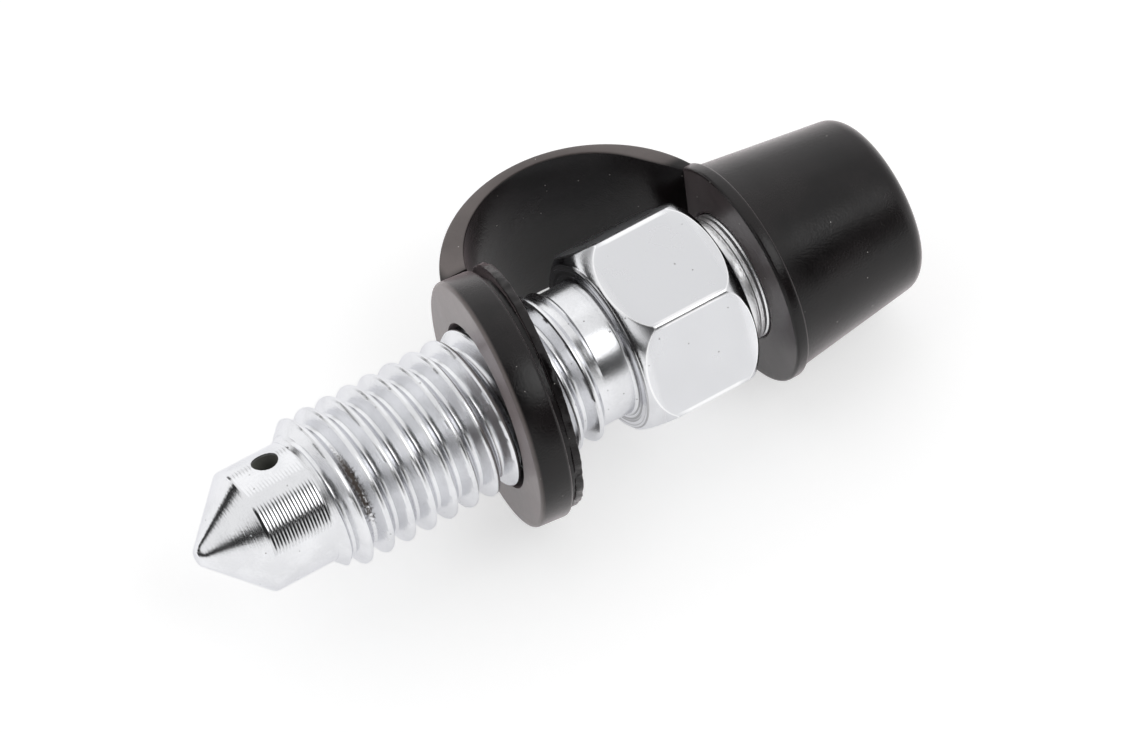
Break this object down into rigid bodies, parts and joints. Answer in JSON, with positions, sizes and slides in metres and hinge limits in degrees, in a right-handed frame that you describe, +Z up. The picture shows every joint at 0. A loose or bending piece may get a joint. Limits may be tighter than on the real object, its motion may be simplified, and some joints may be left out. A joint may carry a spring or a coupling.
{
  "type": "bleeder screw",
  "caption": "Bleeder screw with a sealing cone, cross-drilled pilot, coarse thread and hexagon, and a rubber dust cap tied to it by a bent strap and a ring",
  "frame": {"origin": "on the table that the part lies on, under the middle of its box", "axes": "+X along the screw from its tip to the dust cap, +Z up, +Y to the side that the strap bends out on"},
  "size_m": [0.0577, 0.024, 0.0188],
  "materials": {
    "plated_steel": "zinc plated, turned",
    "black_rubber": "matte"
  },
  "bodies": {
    "screw": {"bleeder_screw": "plated_steel"},
    "cap": {"dust_cap": "black_rubber"}
  },
  "joints": [
    {"name": "cap_turn", "type": "hinge", "parent": "screw", "child": "cap", "pos_m": [0.01602, -0.00241, 0.0086], "axis": [0.9992, 0, -0.0396], "continuous": true}
  ]
}
